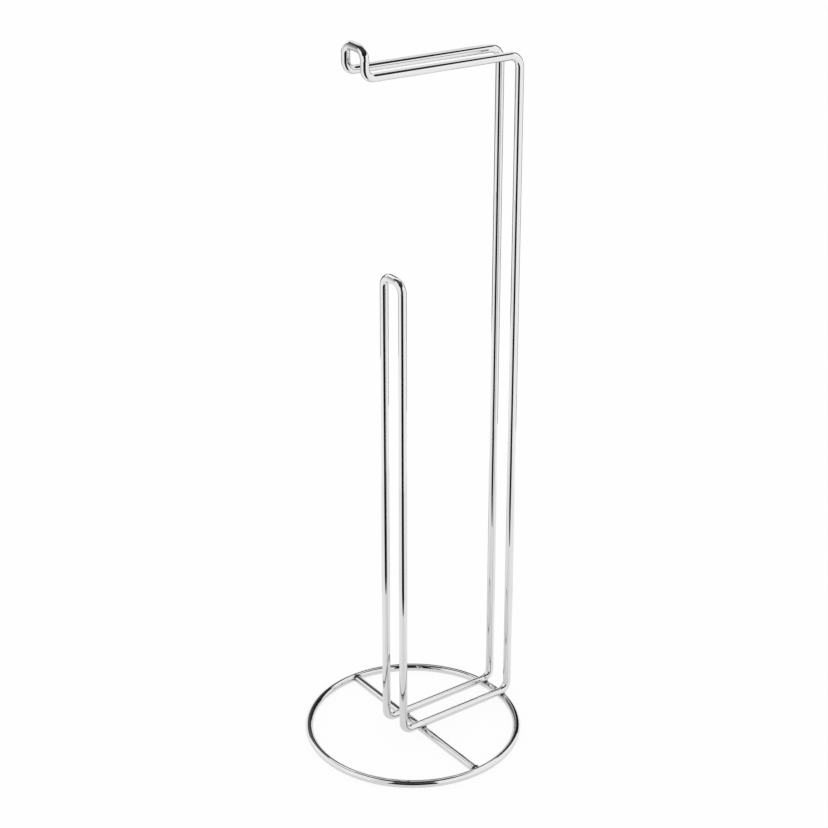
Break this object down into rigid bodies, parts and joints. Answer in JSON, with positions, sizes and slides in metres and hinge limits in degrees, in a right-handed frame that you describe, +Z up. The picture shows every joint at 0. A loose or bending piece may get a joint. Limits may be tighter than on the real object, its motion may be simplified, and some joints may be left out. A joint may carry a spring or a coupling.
{
  "type": "toilet roll storage holder",
  "caption": "Free-standing chromed wire stand with a floor ring, a tall arm for the toilet roll in use and a storage post for spare rolls.",
  "frame": {"origin": "on the floor, at the centre of the ring that the stand rests on", "axes": "+Z up; -X the way the arm points, from the tall posts towards its upturned end; +Y from the front wire of each pair to the back wire"},
  "size_m": [0.1694, 0.166, 0.556],
  "materials": {
    "chromed_wire": "bright chrome plating on round drawn steel wire",
    "plated_weld": "chrome plating over weld metal, a little duller and uneven"
  },
  "bodies": {
    "root": {"base_ring": "chromed_wire", "cross_bar": "chromed_wire", "frame_wire": "chromed_wire", "ring_weld_front": "plated_weld", "ring_weld_back": "plated_weld", "bar_weld_front": "plated_weld", "bar_weld_back": "plated_weld", "bar_end_weld_front": "plated_weld", "bar_end_weld_back": "plated_weld", "ring_seam_weld": "plated_weld", "frame_seam_weld": "plated_weld"}
  },
  "joints": []
}
